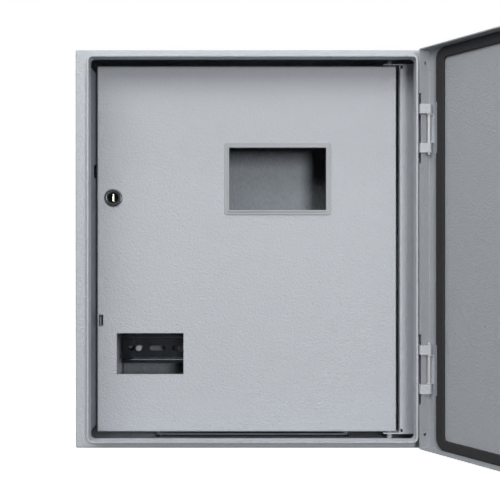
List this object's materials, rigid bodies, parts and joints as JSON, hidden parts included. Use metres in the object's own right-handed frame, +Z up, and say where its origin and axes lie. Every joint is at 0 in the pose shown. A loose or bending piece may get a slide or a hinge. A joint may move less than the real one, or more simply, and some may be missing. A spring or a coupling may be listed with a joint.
{
  "type": "electrical enclosure",
  "caption": "Wall-mounted sheet-steel meter enclosure with a lockable outer door, an inner door with a meter window and a module cut-out, and a rail and mounting plate inside.",
  "frame": {"origin": "middle of the four wall holes, on the back face that lies against the wall", "axes": "+X to the right seen from the front, +Z up, -Y out of the front"},
  "size_m": [0.6169, 0.5029, 0.45],
  "materials": {
    "painted_sheet": "fine textured powder coat",
    "zinc": "bright zinc plate",
    "chrome": "polished nickel",
    "foam": "closed-cell foam",
    "grey_plastic": "satin"
  },
  "bodies": {
    "enclosure": {"body_shell": "painted_sheet", "lock_side_strip": "painted_sheet", "hinge_side_strip": "painted_sheet", "upper_body_hinge": "painted_sheet", "lower_body_hinge": "painted_sheet", "upper_pivot_pin": "zinc", "lower_pivot_pin": "zinc", "gland_gasket": "foam", "gland_plate": "painted_sheet", "gland_studs": "zinc", "gland_nuts": "zinc", "mounting_plate": "painted_sheet", "plate_studs": "zinc", "plate_spacers": "zinc", "plate_washers": "zinc", "plate_nuts": "zinc", "earth_stud": "zinc", "earth_washers": "zinc", "earth_nuts": "zinc", "din_rail": "zinc", "left_rail_bracket": "zinc", "right_rail_bracket": "zinc", "rail_screws": "zinc", "rail_nuts": "zinc", "bracket_screws": "zinc"},
    "outer_door": {"outer_door": "painted_sheet", "door_gasket": "foam", "upper_door_hinge": "painted_sheet", "lower_door_hinge": "painted_sheet", "outer_lock_housing": "chrome", "outer_lock_nut": "zinc"},
    "inner_door": {"inner_door": "painted_sheet", "window_frame": "grey_plastic", "inner_lock_housing": "chrome", "inner_lock_nut": "zinc"},
    "outer_lock": {"outer_lock_plug": "chrome", "outer_lock_cam": "zinc", "outer_cam_screw": "zinc"},
    "inner_lock": {"inner_lock_plug": "chrome", "inner_lock_cam": "zinc", "inner_cam_screw": "zinc"},
    "upper_hinge_pin": {"upper_hinge_pin": "zinc"},
    "lower_hinge_pin": {"lower_hinge_pin": "zinc"}
  },
  "joints": [
    {"name": "outer_door_swing", "type": "hinge", "parent": "enclosure", "child": "outer_door", "pos_m": [0.1964, -0.164, 0], "axis": [0, 0, 1], "range_deg": [-123, 4]},
    {"name": "inner_door_swing", "type": "hinge", "parent": "enclosure", "child": "inner_door", "pos_m": [0.1609, -0.113, 0], "axis": [0, 0, 1], "range_deg": [0, 100]},
    {"name": "outer_lock_turn", "type": "hinge", "parent": "outer_door", "child": "outer_lock", "pos_m": [0.39602, -0.46111, 0.0865], "axis": [0.8387, 0.5446, 0], "range_deg": [0, 90]},
    {"name": "inner_lock_turn", "type": "hinge", "parent": "inner_door", "child": "inner_lock", "pos_m": [-0.1619, -0.12, 0.0597], "axis": [0, -1, 0], "range_deg": [0, 90]},
    {"name": "upper_pin_pull", "type": "slide", "parent": "enclosure", "child": "upper_hinge_pin", "axis": [0, 0, -1], "range_m": [0, 0.044]},
    {"name": "lower_pin_pull", "type": "slide", "parent": "enclosure", "child": "lower_hinge_pin", "axis": [0, 0, 1], "range_m": [0, 0.044]}
  ]
}
